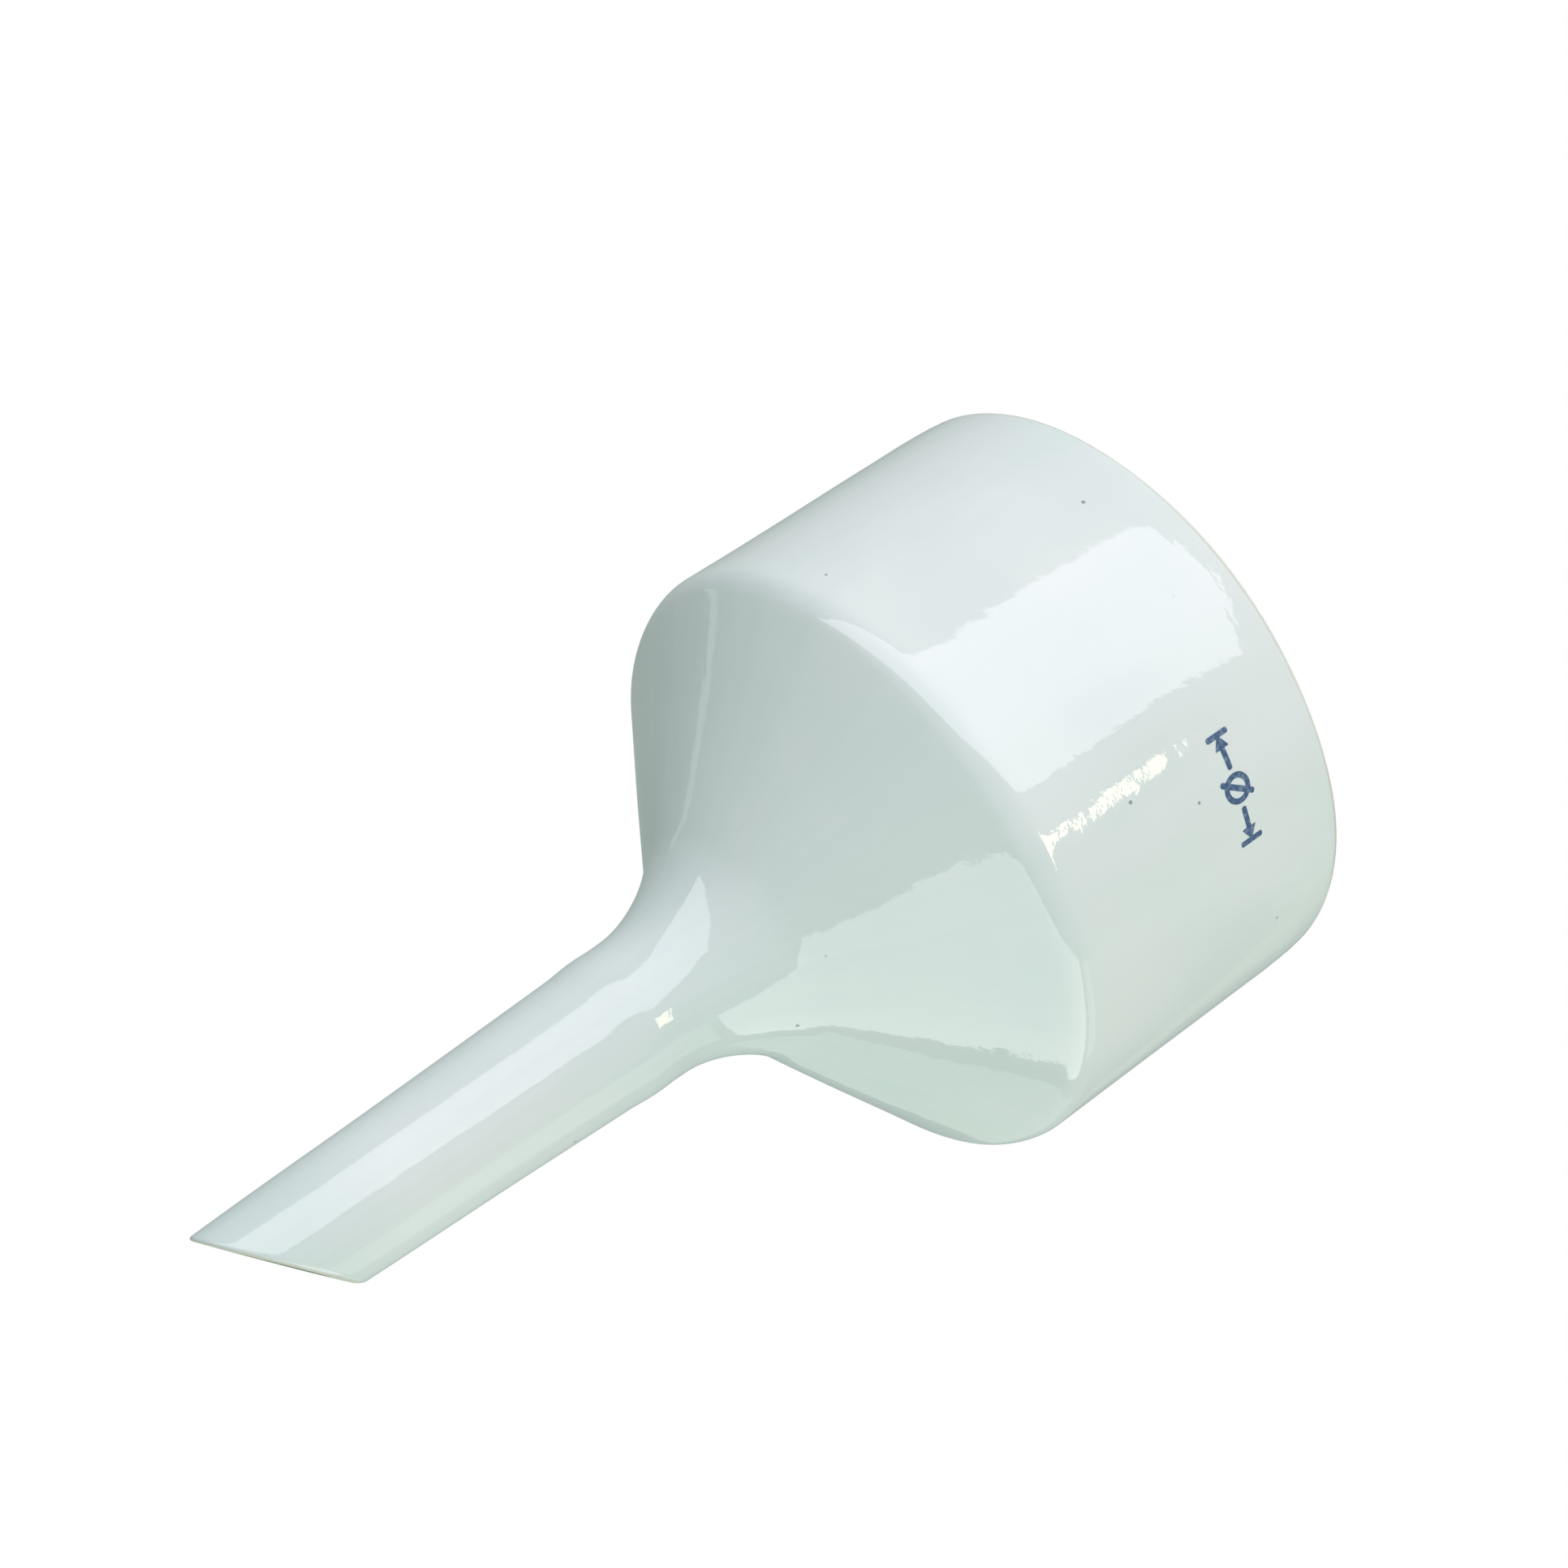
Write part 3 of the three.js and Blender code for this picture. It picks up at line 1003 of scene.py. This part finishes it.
# %% Surroundings
def surroundings():
    """A white background, and for everything but the camera a dimmer room, darker to one side."""
    world = bpy.data.worlds.new("studio")
    bpy.context.scene.world = world
    world.use_nodes = True
    tree = world.node_tree
    tree.nodes.clear()
    direction = add(tree, "ShaderNodeTexCoord").outputs["Generated"]
    height = add(tree, "ShaderNodeSeparateXYZ", {"Vector": direction}).outputs["Z"]
    upper = ramp(tree, height, -0.35, 0.35)
    toward = {0: direction, 1: from_angles(-100, 0)}
    facing = add(tree, "ShaderNodeVectorMath", toward, operation="DOT_PRODUCT")
    front = ramp(tree, facing.outputs["Value"], -0.5, 0.1)
    near_side = blend(tree, upper, (0.41, 0.46, 0.43, 1), (0.38, 0.43, 0.39, 1))
    far_side = blend(tree, upper, (0.12, 0.15, 0.15, 1), (0.36, 0.43, 0.41, 1))
    room = blend(tree, front, far_side, near_side)
    seen = add(tree, "ShaderNodeLightPath").outputs["Is Camera Ray"]
    behind = add(tree, "ShaderNodeBackground", {"Color": (1, 1, 1, 1)})
    around = add(tree, "ShaderNodeBackground", {"Color": room})
    choice = add(tree, "ShaderNodeMixShader", {0: seen})
    tree.links.new(around.outputs[0], choice.inputs[1])
    tree.links.new(behind.outputs[0], choice.inputs[2])
    out = tree.nodes.new("ShaderNodeOutputWorld")
    tree.links.new(choice.outputs[0], out.inputs["Surface"])
    print("world with", len(tree.nodes), "nodes")


surroundings()

# %% [markdown]
# ## Camera
# A long lens keeps the bowl's sides nearly parallel. The camera stands below and to one side of the
# funnel and is rolled, so that the stem points to the lower left.

# %% Camera
AIM = Vector((-14.9, 5.8, 47.0)) * MM
STAND = AIM + 0.7002 * from_angles(-108.43, -28.11)
ROLL = 56.34
camera_data = bpy.data.cameras.new("camera")
camera_data.lens = 105.9
camera = bpy.data.objects.new("camera", camera_data)
bpy.context.collection.objects.link(camera)
camera.location = STAND
camera.rotation_mode = "QUATERNION"
look = (AIM - STAND).to_track_quat("-Z", "Y")
camera.rotation_quaternion = look @ Matrix.Rotation(math.radians(ROLL), 4, "Z").to_quaternion()
bpy.context.scene.camera = camera
bpy.context.scene.view_settings.view_transform = "Standard"
print("camera at", [round(v, 3) for v in STAND])
